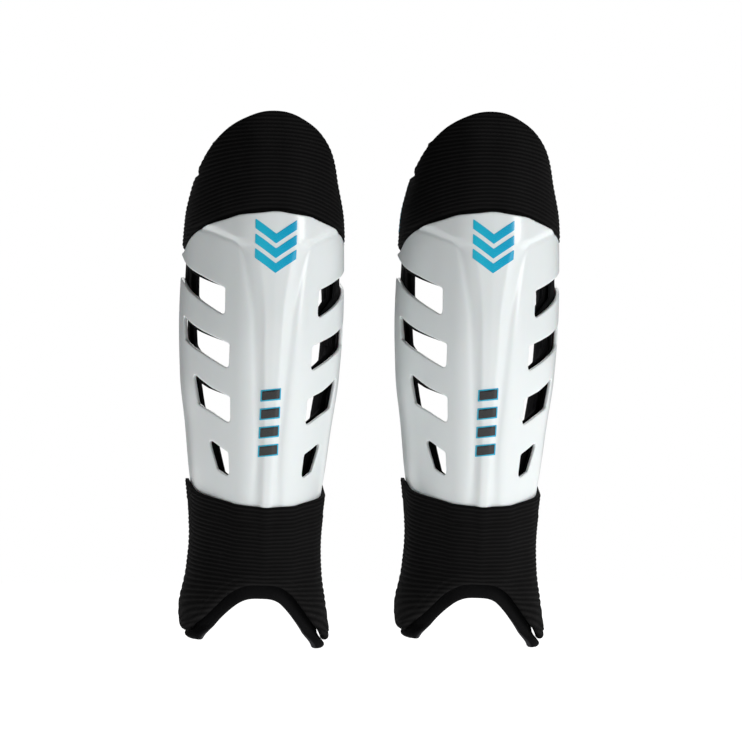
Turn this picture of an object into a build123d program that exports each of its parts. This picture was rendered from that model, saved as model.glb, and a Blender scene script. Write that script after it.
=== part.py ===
from build123d import *
import math
import os

# A pair of field hockey shin guards standing side by side, fronts facing -Y, tops up.
# Millimetres. X = 0 is midway between the two guards and Z = 0 is the tip of the lowest ankle lobe.

# ---- driving dimensions ----
GUARD_SPACING = 134.3      # centre to centre, side by side
LEAN = 1.8                 # degrees that each guard leans towards +X
LEAN_HEIGHT = 165          # height of the point that the guard leans about
BASE_HEIGHT = 2.0          # lifts the guards so that the lowest lobe tip is at Z = 0

# Half width and front projection of the shell's outer face, by height.
HALF_WIDTH = [(-5, 44.4), (20, 43.2), (45, 38.4), (65, 37.0), (90, 38.6), (110, 41.4), (135, 44.3),
              (165, 48.3), (205, 50.0), (235, 49.4), (262, 48.0), (290, 42.6), (335, 38.0)]
FRONT = [(-5, 49.5), (45, 49.0), (90, 53.0), (150, 59.0), (200, 62.0), (245, 61.5), (290, 56.0), (335, 45.5)]
STATIONS = [-5, 20, 45, 65, 90, 120, 150, 180, 210, 240, 262, 290, 312, 335]

# Horizontal section of the guard: a blunt ridge, a slanting panel, a straight side and a curl behind it.
CORE_RADIUS = 14.0         # the outer face runs this far outside the core line that sets the section
RIDGE_SHARE = (0.10, 0.24) # shares of the core line between which the ridge turns into the panel
PANEL_SLANT = 38.0         # degrees
PANEL_SHARE = 0.30         # share of the core line where the panel starts to turn towards the side
SIDE_STRAIGHT = 16.0       # straight length behind the widest point
CURL_RADIUS = 60.0         # of the flaps behind that straight length
STRAP_REACH = 43.0         # from the widest point back to the strap hinges

# Depths below the shell's outer face.
KEEL_HEIGHT = 1.5
SHELL = (0.0, 2.4)
CUFF_COVER = (-1.6, -0.3)
CUFF_FOAM = (0.0, 4.2)
PAD_FACE = (0.4, 1.6)
PAD_FOAM = (1.8, 4.3)
TUCK = (2.9, 4.3)
HOOK_PATCH = (4.55, 5.0)
LOOP_PATCH = (5.3, 5.7)
LINER = (6.0, 10.5)
LOOP_PAD = (5.0, 5.7)
TAB_HOOKS = (3.2, 4.25)
TAB = (1.6, 3.05)
STRAP = (1.6, 3.0)
FILM = 0.15
FILM_GAP = 0.04

# Rear edges, as Y.
SHELL_REAR = 4.0
TUCK_REAR = 5.0
SOFT_REAR = 6.0
LINER_REAR = 11.0

# Outlines seen from the front.
SHELL_TOP = 266.0          # crown of the shell's top edge
TOP_ARC = 85.0             # its radius
SHELL_BOTTOM = 85.0        # lowest point of the edge where the cuff starts
BOTTOM_ARC = 82.0          # its radius
CUFF_OVERLAP = 16.0        # shell hidden inside the cuff
PAD_TOP_RADIUS = 42.5
PAD_TOP_CENTRE = 285.5
TUCK_BOTTOM = 236.0        # lower end of the top pad behind the shell
EDGE_GAP = 0.8

KEEL_BOTTOM = 88.0         # clear of the cuff
KEEL_REAR = -20.0
# Half of the keel's outline, from the cuff to the shell's top edge: half width, height.
KEEL_OUTLINE = [(5.4, 60), (5.4, 118), (7.2, 155), (9.2, 190), (12.5, 222), (15.6, 238), (21, 246),
                (30, 251), (44, 255.5), (60, 259)]

# Vents, from the top one down: distance round from the ridge, height. The top one runs out at the rear edge.
VENTS = [
    [(22.6, 218.6), (37, 225.5), (57, 234), (90, 247), (90, 233), (57, 221), (41, 213), (22.3, 201.5)],
    [(18.5, 184.5), (36, 192), (55, 202), (50.5, 186.5), (36, 179), (18.5, 169)],
    [(16.8, 152), (28, 157), (41.5, 166.5), (36.5, 147.5), (27.5, 142.5), (16, 135.5)],
    [(16.5, 118), (29, 127), (22.5, 108), (15, 102.8)],
]
TOP_WINDOW = [(22.6, 218.6), (37, 225.5), (50, 231), (47, 216), (41, 213), (22.3, 201.5)]
WINDOWS = [TOP_WINDOW] + VENTS[1:]
VENT_CORNER = 2.0
VENT_DIRECTION = 60.0      # degrees from the front towards the side
VENT_REACH = (15.0, 24.0)  # how far the cut runs outwards and inwards

# Arches over the instep, right half: half width, height. The cuff's is wider and higher than the liner's.
CUFF_ARCH = [(0, 37.5), (8, 37.2), (15, 35.3), (22, 31.0), (28, 24.3), (34.5, 15.8), (40.3, 8.5), (48, 3.0)]
LINER_ARCH = [(0, 29.0), (8, 28.4), (14.5, 25.6), (19.5, 20.8), (25, 13.5), (31.5, 5.0), (37, -0.5), (46, -3.0)]
CUFF_BOTTOM = 4.5
LINER_BOTTOM = -0.8
LOBE_RADIUS = 15.0         # of the rear corner of a lobe, seen from the side

# Marks on the keel.
CHEVRON_HEIGHTS = (229.0, 238.5, 248.0)
CHEVRON_HALF_WIDTH = 12.5
CHEVRON_RISE = 9.0
CHEVRON_WIDTH = 6.0
BAR_HEIGHTS = (116.5, 127.8, 139.1, 150.4)
BAR_SIZE = (11.0, 5.6)
BAR_SLANT = 1.6
BAR_EDGE = 0.8

# Hook-and-loop patches between the shell side and the liner: lower and upper end.
PATCH_SPANS = [(74, 96), (122, 152), (192, 222)]
PATCH_HALF_WIDTH = 11.0

# Straps.
STRAP_WIDTH = 38.0
STRAPS = {"upper": 268.0, "lower": 68.0}
STRAP_ROOT = 1.3           # free length between a hinge axis and what is sewn beside it
LOOP_PAD_LENGTH = 18.0
GRIP_LENGTH = 3.0


def smooth(share):
    share = min(1.0, max(0.0, share))
    return share * share * (3 - 2 * share)


def along(table, height):
    """Smooth curve through the (height, value) points, without overshoot."""
    heights = [point[0] for point in table]
    values = [point[1] for point in table]
    steps = [b - a for a, b in zip(heights, heights[1:])]
    slopes = [(b - a) / step for a, b, step in zip(values, values[1:], steps)]
    tangents = [0.0] * len(table)
    for i in range(1, len(table) - 1):
        if slopes[i - 1] * slopes[i] > 0:
            tangents[i] = 2 * slopes[i - 1] * slopes[i] / (slopes[i - 1] + slopes[i])
    height = min(max(height, heights[0]), heights[-1])
    i = max(k for k in range(len(steps)) if heights[k] <= height)
    t = (height - heights[i]) / steps[i]
    return (values[i] + (values[i + 1] - values[i]) * t * t * (3 - 2 * t)
            + steps[i] * t * (1 - t) * (tangents[i] * (1 - t) - tangents[i + 1] * t))


def heading(share):
    """Direction of the core line, in radians from +X, at a share of its way from ridge to widest point."""
    low, high = RIDGE_SHARE
    turn_in_panel = (90 - PANEL_SLANT) * smooth((share - PANEL_SHARE) / (1 - PANEL_SHARE))
    return math.radians(PANEL_SLANT * smooth((share - low) / (high - low)) + turn_in_panel)


CORE_STEPS = 200
CORE = [(0.0, 0.0)]
for step in range(CORE_STEPS):
    direction = heading((step + 0.5) / CORE_STEPS)
    CORE.append((CORE[-1][0] + math.cos(direction) / CORE_STEPS, CORE[-1][1] + math.sin(direction) / CORE_STEPS))


def panel_length(height):
    """Core length from the ridge to the widest point."""
    return (along(HALF_WIDTH, height) - CORE_RADIUS) / CORE[-1][0]


def section_point(distance, height, depth):
    """Point of the horizontal section, a distance round from the ridge and a depth under the outer face."""
    length = panel_length(height)
    share = abs(distance) / length
    behind = abs(distance) - length
    if behind <= 0:
        place = share * CORE_STEPS
        i = min(int(place), CORE_STEPS - 1)
        part = place - i
        x = length * (CORE[i][0] + (CORE[i + 1][0] - CORE[i][0]) * part)
        y = length * (CORE[i][1] + (CORE[i + 1][1] - CORE[i][1]) * part)
        direction = heading(share)
    else:
        curl = max(0.0, behind - SIDE_STRAIGHT)
        core_curl = CURL_RADIUS - CORE_RADIUS
        turned = curl / CURL_RADIUS
        direction = math.pi / 2 + turned
        x = length * CORE[-1][0] - core_curl * (1 - math.cos(turned))
        y = length * CORE[-1][1] + min(behind, SIDE_STRAIGHT) + core_curl * math.sin(turned)
    reach = CORE_RADIUS - depth
    x = x + math.sin(direction) * reach
    y = y - math.cos(direction) * reach + CORE_RADIUS - along(FRONT, height)
    return math.copysign(x, distance), y


def side_reach(height, rear):
    """Distance round from the ridge to the place on the straight side where Y is rear."""
    widest = along(FRONT, height) - CORE_RADIUS - CORE[-1][1] * panel_length(height)
    return panel_length(height) + rear + widest


SHARES = [0, 0.09, 0.17, 0.25, 0.36, 0.5, 0.65, 0.8, 0.92, 1.0]


def face_of_layer(height, depths, start, end):
    """Closed horizontal section of one layer between two distances from the ridge."""
    length = panel_length(height)
    marks = [-share * length for share in reversed(SHARES)] + [share * length for share in SHARES[1:]]
    tail = [length + SIDE_STRAIGHT * part for part in (0.5, 1.0)]
    tail += [length + SIDE_STRAIGHT + (STRAP_REACH - SIDE_STRAIGHT) * part for part in (0.5, 1.0)]
    marks = [-mark for mark in reversed(tail)] + marks + tail
    inside = [mark for mark in marks if start + 2.5 < mark < end - 2.5]
    marks = [start] + inside + [end]
    outer = [section_point(mark, height, depths[0]) for mark in marks]
    inner = [section_point(mark, height, depths[1]) for mark in reversed(marks)]
    outer = [(x, y, height) for x, y in outer]
    inner = [(x, y, height) for x, y in inner]
    edges = [Spline(outer), Line(outer[-1], inner[0]), Spline(inner), Line(inner[-1], outer[0])]
    return Wire(edges)


def heights_between(low, high):
    inside = [station for station in STATIONS if low + 3 < station < high - 3]
    return [low] + inside + [high]


def layer(depths, low, high, rear):
    """Both sides of the guard between two heights, back to Y = rear."""
    wires = []
    for height in heights_between(low, high):
        reach = side_reach(height, rear)
        wires.append(face_of_layer(height, depths, -reach, reach))
    return Solid.make_loft(wires)


def patch(depths, low, high, start, end):
    """Piece of one layer between two distances from the ridge, which may differ by height."""
    middle = (low + high) / 2
    wires = []
    for height in (low, middle, high):
        wires.append(face_of_layer(height, depths, start(height), end(height)))
    return Solid.make_loft(wires)


def front_prism(outline):
    """Everything behind and in front of a closed outline in the X, Z plane."""
    face = make_face(outline)
    return extrude(Plane.XZ * face, amount=150, both=True)


def under_arc(crown, radius, low):
    """Front outline bounded above by an arc that bulges upwards."""
    side = 75.0 if radius > 75 else radius * 0.999
    drop = radius - math.sqrt(radius * radius - side * side)
    arc = ThreePointArc((-side, crown - drop), (0, crown), (side, crown - drop))
    rest = Polyline((side, crown - drop), (side, low), (-side, low), (-side, crown - drop))
    return front_prism([arc.edge(), *rest.edges()])


def over_arc(crown, radius, high):
    """Front outline bounded below by an arc that bulges downwards."""
    side = 65.0
    rise = radius - math.sqrt(radius * radius - side * side)
    arc = ThreePointArc((-side, crown + rise), (0, crown), (side, crown + rise))
    rest = Polyline((side, crown + rise), (side, high), (-side, high), (-side, crown + rise))
    return front_prism([arc.edge(), *rest.edges()])


def rounded_top(radius):
    """Front outline with a round top, which trims the pad and the liner."""
    arc = ThreePointArc((-radius, PAD_TOP_CENTRE), (0, PAD_TOP_CENTRE + radius), (radius, PAD_TOP_CENTRE))
    rest = Polyline((radius, PAD_TOP_CENTRE), (75, PAD_TOP_CENTRE), (75, -40), (-75, -40),
                    (-75, PAD_TOP_CENTRE), (-radius, PAD_TOP_CENTRE))
    return front_prism([arc.edge(), *rest.edges()])


def side_prism(outline):
    """Everything left and right of a closed outline in the Y, Z plane."""
    face = make_face(outline)
    return extrude(Plane.YZ * face, amount=150, both=True)


def mirrored(points):
    """Symmetrical run of points from the left end to the right end of a right half."""
    return [(-x, z) for x, z in reversed(points) if x > 0] + list(points)


def arch(half, bottom):
    """Opening over the instep, and everything below the lobes."""
    run = mirrored(half)
    low = bottom - 40
    curve = Spline(*run)
    rest = Polyline(run[-1], (80, run[-1][1]), (80, low), (-80, low), (-80, run[0][1]), run[0])
    return front_prism([curve.edge(), *rest.edges()])


def lobe_corner(rear, bottom):
    """What is cut away to round the rear lower corner of the lobes."""
    centre = (rear - LOBE_RADIUS, bottom + LOBE_RADIUS)
    turn = math.sqrt(0.5) * LOBE_RADIUS
    arc = ThreePointArc((rear, centre[1]), (centre[0] + turn, centre[1] - turn), (centre[0], bottom))
    rest = Polyline((centre[0], bottom), (centre[0], bottom - 30), (rear + 40, bottom - 30),
                    (rear + 40, centre[1]), (rear, centre[1]))
    return side_prism([arc.edge(), *rest.edges()])


def vent_cutter(outline, side):
    """Rounded prism through the panel on one side (+1 or -1)."""
    slant = math.radians(VENT_DIRECTION)
    frame = Plane(origin=(0, 0, 0), x_dir=(math.cos(slant), math.sin(slant), 0),
                  z_dir=(math.sin(slant), -math.cos(slant), 0))
    points = []
    for distance, height in outline:
        x, y = section_point(distance, height, 0)
        points.append(frame.to_local_coords(Vector(x, y, height)))
    middle = sum(point.Z for point in points) / len(points)
    corners = [(point.X, point.Y) for point in points]
    face = make_face(FilletPolyline(*corners, radius=VENT_CORNER, close=True).edges())
    outwards, inwards = VENT_REACH
    cutter = extrude(frame.offset(middle - inwards) * face, amount=inwards + outwards)
    return cutter if side > 0 else mirror(cutter, about=Plane.YZ)


def cut_openings(body, outlines):
    for outline in outlines:
        for side in (-1, 1):
            body = body - vent_cutter(outline, side)
    return body


def keel():
    right = [(x, z) for x, z in KEEL_OUTLINE]
    left = [(-x, z) for x, z in KEEL_OUTLINE]
    right_side = Spline(*right)
    left_side = Spline(*left)
    high = Polyline(right[-1], (right[-1][0], 300), (left[-1][0], 300), left[-1])
    low = Line(left[0], right[0])
    panel = front_prism([right_side.edge(), *high.edges(), left_side.edge(), low.edge()])
    return layer((-KEEL_HEIGHT, 0.6), KEEL_BOTTOM, SHELL_TOP + 4, KEEL_REAR) & panel


def shell():
    low = SHELL_BOTTOM - CUFF_OVERLAP
    body = layer(SHELL, low, SHELL_TOP + 4, SHELL_REAR) + keel()
    body = body & under_arc(SHELL_TOP, TOP_ARC, low - 30)
    body = body & over_arc(low, BOTTOM_ARC, SHELL_TOP + 40)
    return cut_openings(body - wing_corner(), VENTS)


def wing_corner():
    """What is cut away above the sloping rear end of the shell's upper wings."""
    slope = Spline((-34, 256.5), (-20, 250.5), (-5, 244.5), (8, 237))
    rest = Polyline((8, 237), (40, 237), (40, 300), (-34, 300), (-34, 256.5))
    return side_prism([slope.edge(), *rest.edges()])


def top_pad_block(depths):
    return layer(depths, TUCK_BOTTOM, PAD_TOP_CENTRE + PAD_TOP_RADIUS, SOFT_REAR)


def top_pad_cover():
    """Ribbed fabric face above the shell and the flange that is tucked behind it."""
    under_shell = under_arc(SHELL_TOP + EDGE_GAP, TOP_ARC, TUCK_BOTTOM - 40)
    under_step = under_arc(SHELL_TOP + EDGE_GAP + 4, TOP_ARC, TUCK_BOTTOM - 40)
    shell_room = top_pad_block((-2, TUCK[0])) & under_shell
    foam_room = top_pad_block((PAD_FACE[1], TUCK[1] + 2)) - under_step
    body = top_pad_block((PAD_FACE[0], TUCK[1])) - shell_room - foam_room
    return body & rounded_top(PAD_TOP_RADIUS)


def top_pad_foam():
    under_step = under_arc(SHELL_TOP + EDGE_GAP + 4.3, TOP_ARC, TUCK_BOTTOM - 40)
    body = top_pad_block(PAD_FOAM) - under_step
    return body & rounded_top(PAD_TOP_RADIUS - 1.5)


def ankle_cuff_cover():
    body = layer(CUFF_COVER, CUFF_BOTTOM, SHELL_BOTTOM + 22, SOFT_REAR)
    body = body - over_arc(SHELL_BOTTOM, BOTTOM_ARC, SHELL_BOTTOM + 60)
    return body - arch(CUFF_ARCH, CUFF_BOTTOM) - lobe_corner(SOFT_REAR, CUFF_BOTTOM)


def ankle_cuff_foam():
    edge = SHELL_BOTTOM - CUFF_OVERLAP - EDGE_GAP
    body = layer(CUFF_FOAM, CUFF_BOTTOM, edge + 22, SOFT_REAR)
    body = body - over_arc(edge, BOTTOM_ARC, edge + 60)
    return body - arch(CUFF_ARCH, CUFF_BOTTOM) - lobe_corner(SOFT_REAR, CUFF_BOTTOM)


def backing_liner():
    """Fabric behind the shell, with a window behind each vent."""
    low = SHELL_BOTTOM - CUFF_OVERLAP
    body = layer(TUCK, low, TUCK_BOTTOM - EDGE_GAP, TUCK_REAR)
    body = body & over_arc(low, BOTTOM_ARC, SHELL_TOP + 40)
    return cut_openings(body, WINDOWS)


def flap_end(height):
    """Distance round from the ridge to the strap hinges."""
    return panel_length(height) + STRAP_REACH


def side_patch(depths, level, half_height, start_gap, end_gap, side):
    """Piece on a flap, between two distances short of the strap hinge."""
    low = level - half_height
    high = level + half_height
    if side > 0:
        return patch(depths, low, high, lambda z: flap_end(z) - start_gap, lambda z: flap_end(z) - end_gap)
    return patch(depths, low, high, lambda z: end_gap - flap_end(z), lambda z: start_gap - flap_end(z))


def inner_liner():
    """Removable foam liner, with windows, ankle lobes and a flap at each end of both straps."""
    body = layer(LINER, LINER_BOTTOM, PAD_TOP_CENTRE + PAD_TOP_RADIUS, LINER_REAR)
    for level in STRAPS.values():
        for side in (-1, 1):
            body = body + side_patch(LINER, level, STRAP_WIDTH / 2 + 2, 30, STRAP_ROOT, side)
    body = body & rounded_top(PAD_TOP_RADIUS - 2)
    body = body - arch(LINER_ARCH, LINER_BOTTOM) - lobe_corner(LINER_REAR, LINER_BOTTOM)
    return cut_openings(body, WINDOWS)


def closure_patches(depths):
    """Hook or loop patches down the spine."""
    left, right = lambda height: -PATCH_HALF_WIDTH, lambda height: PATCH_HALF_WIDTH
    return [patch(depths, low, high, left, right) for low, high in PATCH_SPANS]


def strap_loop(level):
    """Elastic strap from hinge to hinge round the back of the leg, an arc that carries on the flap's curl."""
    turned = (STRAP_REACH - SIDE_STRAIGHT) / CURL_RADIUS
    wires = []
    for height in (level - STRAP_WIDTH / 2, level, level + STRAP_WIDTH / 2):
        loops = []
        for depth in STRAP:
            x, y = section_point(flap_end(height), height, depth)
            radius = x / math.cos(turned)
            centre = y - x * math.tan(turned)
            start = turned + STRAP_ROOT / radius
            end_x = radius * math.cos(start)
            end_y = centre + radius * math.sin(start)
            loops.append([(end_x, end_y, height), (0, centre + radius, height), (-end_x, end_y, height)])
        outer, inner = loops
        root = [Line(outer[2], inner[2]), Line(inner[0], outer[0])]
        wires.append(Wire([ThreePointArc(*outer), root[0], ThreePointArc(*reversed(inner)), root[1]]))
    return Solid.make_loft(wires)


def hinge_point(level, side):
    """Place of a strap or tab hinge axis in the guard's own frame."""
    x, y = section_point(flap_end(level), level, sum(STRAP) / 2)
    return side * x, y, level


def strap_set(name, level, side):
    """A strap sewn to one flap (side -1 or +1) and closed with a tab on the other."""
    half = STRAP_WIDTH / 2
    tab_end = STRAP_ROOT + LOOP_PAD_LENGTH
    return {
        name + "_strap": strap_loop(level),
        name + "_strap_anchor": side_patch((STRAP[0], LOOP_PAD[1]), level, half, tab_end, STRAP_ROOT, side),
        name + "_loop_pad": side_patch(LOOP_PAD, level, half, tab_end, STRAP_ROOT, -side),
        name + "_tab": side_patch(TAB, level, half, tab_end, STRAP_ROOT, -side),
        name + "_tab_hooks": side_patch(TAB_HOOKS, level, half - 1.5, tab_end, STRAP_ROOT + 3, -side),
        name + "_tab_grip": side_patch(TAB, level, half - 3, tab_end + GRIP_LENGTH, tab_end + 0.1, -side),
    }


def film(level_on_keel):
    """Thin skin over the keel's face."""
    outer = -KEEL_HEIGHT - FILM_GAP - level_on_keel - FILM
    return layer((outer, outer + FILM), KEEL_BOTTOM, SHELL_TOP + 4, KEEL_REAR)


def chevron(height):
    half, rise, width = CHEVRON_HALF_WIDTH, CHEVRON_RISE, CHEVRON_WIDTH
    return [(0, height), (half, height + rise), (half, height + rise + width), (0, height + width),
            (-half, height + rise + width), (-half, height + rise), (0, height)]


def bar(height, grow):
    half = BAR_SIZE[0] / 2 + grow
    low = height - grow
    high = height + BAR_SIZE[1] + grow
    return [(-half, low), (half, low + BAR_SLANT), (half, high + BAR_SLANT), (-half, high), (-half, low)]


def cut_marks(skin, outlines):
    return [skin & front_prism(Polyline(*outline).edges()) for outline in outlines]


def marks():
    chevrons = [chevron(height) for height in CHEVRON_HEIGHTS]
    edges = [bar(height, BAR_EDGE) for height in BAR_HEIGHTS]
    bars = [bar(height, 0) for height in BAR_HEIGHTS]
    return {
        "front_emblem": cut_marks(film(0), chevrons),
        "shin_mark_edging": cut_marks(film(0), edges),
        "shin_mark": cut_marks(film(FILM + FILM_GAP), bars),
    }


def guard_pieces(strap_side):
    pieces = {
        "shell": shell(),
        "top_pad_cover": top_pad_cover(),
        "top_pad_foam": top_pad_foam(),
        "ankle_cuff_cover": ankle_cuff_cover(),
        "ankle_cuff_foam": ankle_cuff_foam(),
        "backing_liner": backing_liner(),
        "inner_liner": inner_liner(),
        "hook_patches": closure_patches(HOOK_PATCH),
        "loop_patches": closure_patches(LOOP_PATCH),
        **marks(),
    }
    for name, level in STRAPS.items():
        pieces.update(strap_set(name, level, strap_side))
    return pieces


def guard_location(centre):
    stand = Location((centre, 0, LEAN_HEIGHT + BASE_HEIGHT))
    return stand * Location((0, 0, 0), (0, LEAN, 0)) * Location((0, 0, -LEAN_HEIGHT))


# Each guard's straps are sewn on its outer side, so they open away from the other leg.
GUARDS = {"left": (-GUARD_SPACING / 2, -1), "right": (GUARD_SPACING / 2, 1)}


def write_pieces():
    os.makedirs("parts", exist_ok=True)
    for guard, (centre, strap_side) in GUARDS.items():
        place = guard_location(centre)
        for name, piece in guard_pieces(strap_side).items():
            solids = piece if isinstance(piece, list) else [piece]
            solids = [solid for shape in solids for solid in shape.solids()]
            export_step(Compound([solid.moved(place) for solid in solids]), f"parts/{name}_{guard}.step")


write_pieces()
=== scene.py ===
import bpy
import math
import numpy as np
from mathutils import Matrix, Vector
from mathutils.geometry import delaunay_2d_cdt
from mathutils.kdtree import KDTree


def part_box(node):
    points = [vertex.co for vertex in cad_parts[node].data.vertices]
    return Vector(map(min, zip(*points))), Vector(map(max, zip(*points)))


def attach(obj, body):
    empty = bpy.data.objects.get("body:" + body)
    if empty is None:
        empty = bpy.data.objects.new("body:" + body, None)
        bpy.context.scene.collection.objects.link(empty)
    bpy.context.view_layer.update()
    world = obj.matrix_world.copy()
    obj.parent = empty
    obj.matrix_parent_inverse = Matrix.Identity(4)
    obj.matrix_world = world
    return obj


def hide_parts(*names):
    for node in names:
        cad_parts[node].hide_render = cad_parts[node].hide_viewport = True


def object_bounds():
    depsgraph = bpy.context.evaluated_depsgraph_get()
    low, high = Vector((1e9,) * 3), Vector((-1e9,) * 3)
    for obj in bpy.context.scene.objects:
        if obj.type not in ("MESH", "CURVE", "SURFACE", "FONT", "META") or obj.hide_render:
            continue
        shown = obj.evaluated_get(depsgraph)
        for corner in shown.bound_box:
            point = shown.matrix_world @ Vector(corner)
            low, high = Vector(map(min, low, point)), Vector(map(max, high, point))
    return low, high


# A pair of field hockey shin guards. Shapes are worked out in millimetres in the frame of one guard, as
# (around, height, depth): around is the distance along the outer face from the ridge, height is Z and
# depth is measured inwards from the shell's outer face. They are placed and turned into metres at the end.

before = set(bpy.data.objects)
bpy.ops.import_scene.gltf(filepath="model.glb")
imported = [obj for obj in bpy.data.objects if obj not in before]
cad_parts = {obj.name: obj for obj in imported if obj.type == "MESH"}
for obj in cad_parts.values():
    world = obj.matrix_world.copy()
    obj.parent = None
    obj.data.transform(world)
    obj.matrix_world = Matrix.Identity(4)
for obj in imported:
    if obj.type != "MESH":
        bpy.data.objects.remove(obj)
CAD_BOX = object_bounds()

# ---- shape of the guard, as in the CAD model ----
LEAN = math.radians(1.8)
LEAN_HEIGHT = 165.0
BASE_HEIGHT = 2.0
HALF_WIDTH = [(-5, 44.4), (20, 43.2), (45, 38.4), (65, 37.0), (90, 38.6), (110, 41.4), (135, 44.3),
              (165, 48.3), (205, 50.0), (235, 49.4), (262, 48.0), (290, 42.6), (335, 38.0)]
FRONT = [(-5, 49.5), (45, 49.0), (90, 53.0), (150, 59.0), (200, 62.0), (245, 61.5), (290, 56.0), (335, 45.5)]
CORE_RADIUS = 14.0
RIDGE_SHARE = (0.10, 0.24)
PANEL_SLANT = 38.0
PANEL_SHARE = 0.30
SIDE_STRAIGHT = 16.0
CURL_RADIUS = 60.0
STRAP_REACH = 43.0
KEEL_HEIGHT = 1.5

# Depths of the layers' faces from the shell's outer face, front and back.
SHELL_BACK = 2.4
BACKING_DEPTH = (2.9, 4.3)
HOOK_PATCH_DEPTH = (4.5, 5.0)
LOOP_PATCH_DEPTH = (5.2, 5.8)
LINER_DEPTH = (6.0, 10.5)
STRAP_DEPTH = (1.6, 3.0)
FOLD_DEPTH = (3.05, 4.35)
SEWN_LOOP_DEPTH = (4.4, 5.7)
LOOP_PAD_DEPTH = (4.9, 5.7)
TAB_DEPTH = (1.6, 3.05)
TAB_HOOKS_DEPTH = (3.1, 4.3)
GRIP_DEPTH = (1.25, 3.4)

STRAP_WIDTH = 38.0
STRAP_LEVELS = {"upper": 268.0, "lower": 68.0}
STRAP_ROOT = 1.3
LOOP_PAD_LENGTH = 18.0
LOBE_SPLAY = 3.0
LOBE_LIFT = 3.5
GRIP_LENGTH = 3.0
PAD_TOP_RADIUS = 42.5
PAD_TOP_CENTRE = 285.5

# Centre of each guard along X, and the side on which its straps are sewn.
guard_boxes = {side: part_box(f"shell_{side}") for side in ("left", "right")}
shell_middles = {side: (box[0][0] + box[1][0]) / 2 for side, box in guard_boxes.items()}
SPACING = (shell_middles["right"] - shell_middles["left"]) * 1000
GUARDS = {"left": (-SPACING / 2, -1), "right": (SPACING / 2, 1)}


def smooth(share):
    share = np.clip(share, 0.0, 1.0)
    return share * share * (3 - 2 * share)


class Curve:
    """Smooth curve through (height, value) points, without overshoot or, where fair, with even bends."""

    def __init__(self, table, fair=False):
        self.x = np.array([point[0] for point in table], float)
        self.y = np.array([point[1] for point in table], float)
        self.step = np.diff(self.x)
        slope = np.diff(self.y) / self.step
        self.tangent = np.zeros(len(table))
        for i in range(1, len(table) - 1):
            if fair:
                self.tangent[i] = (self.y[i + 1] - self.y[i - 1]) / (self.x[i + 1] - self.x[i - 1])
            elif slope[i - 1] * slope[i] > 0:
                self.tangent[i] = 2 * slope[i - 1] * slope[i] / (slope[i - 1] + slope[i])
        if fair:
            self.tangent[-1] = slope[-1]

    def __call__(self, at):
        at = np.clip(np.asarray(at, float), self.x[0], self.x[-1])
        i = np.clip(np.searchsorted(self.x, at, side="right") - 1, 0, len(self.step) - 1)
        t = (at - self.x[i]) / self.step[i]
        eased = (self.y[i + 1] - self.y[i]) * t * t * (3 - 2 * t)
        ends = self.tangent[i] * (1 - t) - self.tangent[i + 1] * t
        return self.y[i] + eased + self.step[i] * t * (1 - t) * ends


half_width = Curve(HALF_WIDTH)
front_reach = Curve(FRONT)


def heading(share):
    """Direction of the core line at a share of its way from ridge to widest point."""
    low, high = RIDGE_SHARE
    turn_in_panel = (90 - PANEL_SLANT) * smooth((share - PANEL_SHARE) / (1 - PANEL_SHARE))
    return np.radians(PANEL_SLANT * smooth((share - low) / (high - low)) + turn_in_panel)


CORE_STEPS = 200
core_marks = np.linspace(0, 1, CORE_STEPS + 1)
core_heading = heading(core_marks[:-1] + 0.5 / CORE_STEPS)
core_x = np.concatenate([[0], np.cumsum(np.cos(core_heading))]) / CORE_STEPS
core_y = np.concatenate([[0], np.cumsum(np.sin(core_heading))]) / CORE_STEPS


def panel_length(height):
    return (half_width(height) - CORE_RADIUS) / core_x[-1]


def core_place(distance, height, depth):
    """Points of the section, from distances along the core line."""
    distance, height, depth = np.broadcast_arrays(distance, height, depth)
    length = panel_length(height)
    share = np.minimum(np.abs(distance) / length, 1.0)
    behind = np.maximum(np.abs(distance) - length, 0.0)
    turned = np.maximum(behind - SIDE_STRAIGHT, 0.0) / CURL_RADIUS
    direction = heading(share) + turned
    core_curl = CURL_RADIUS - CORE_RADIUS
    x = length * np.interp(share, core_marks, core_x) - core_curl * (1 - np.cos(turned))
    y = length * np.interp(share, core_marks, core_y) + np.minimum(behind, SIDE_STRAIGHT)
    y = y + core_curl * np.sin(turned)
    reach = CORE_RADIUS - depth
    x = x + np.sin(direction) * reach
    y = y - np.cos(direction) * reach + CORE_RADIUS - front_reach(height)
    return np.stack([np.sign(distance) * x, y, height + 0.0 * x], axis=-1)


def around_of(distance, height):
    """Distance along the outer face, from the distance along the core line."""
    share = np.minimum(np.abs(distance) / panel_length(height), 1.0)
    return np.sign(distance) * (np.abs(distance) + CORE_RADIUS * heading(share))


def core_of(around, height):
    """Distance along the core line, from the distance along the outer face."""
    target = np.abs(around)
    low = np.zeros_like(target)
    high = target + 1.0
    for _ in range(32):
        middle = (low + high) / 2
        over = around_of(middle, height) > target
        high = np.where(over, middle, high)
        low = np.where(over, low, middle)
    return np.sign(around) * (low + high) / 2


def place(around, height, depth):
    """Points of any layer. The right ankle lobe splays outwards a little, and the left one sits higher."""
    around = np.asarray(around, float)
    height = np.asarray(height, float)
    points = core_place(core_of(around, height), height, depth)
    low = smooth((30 - height) / 28)
    points[..., 2] += LOBE_LIFT * low * smooth(-points[..., 0] / 25)
    points[..., 0] += LOBE_SPLAY * low * smooth(points[..., 0] / 30)
    return points


def flap_end(height):
    """Core distance of the strap hinges."""
    return panel_length(height) + STRAP_REACH


def rear_reach(height, rear):
    """Core distance of the place on the straight side where Y is rear."""
    length = panel_length(height)
    return length + rear + front_reach(height) - CORE_RADIUS - core_y[-1] * length


# ---- outlines, as closed runs of (around, height) ----
def to_around(points):
    points = np.array(points, float)
    return np.stack([around_of(points[:, 0], points[:, 1]), points[:, 1]], axis=-1)


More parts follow.
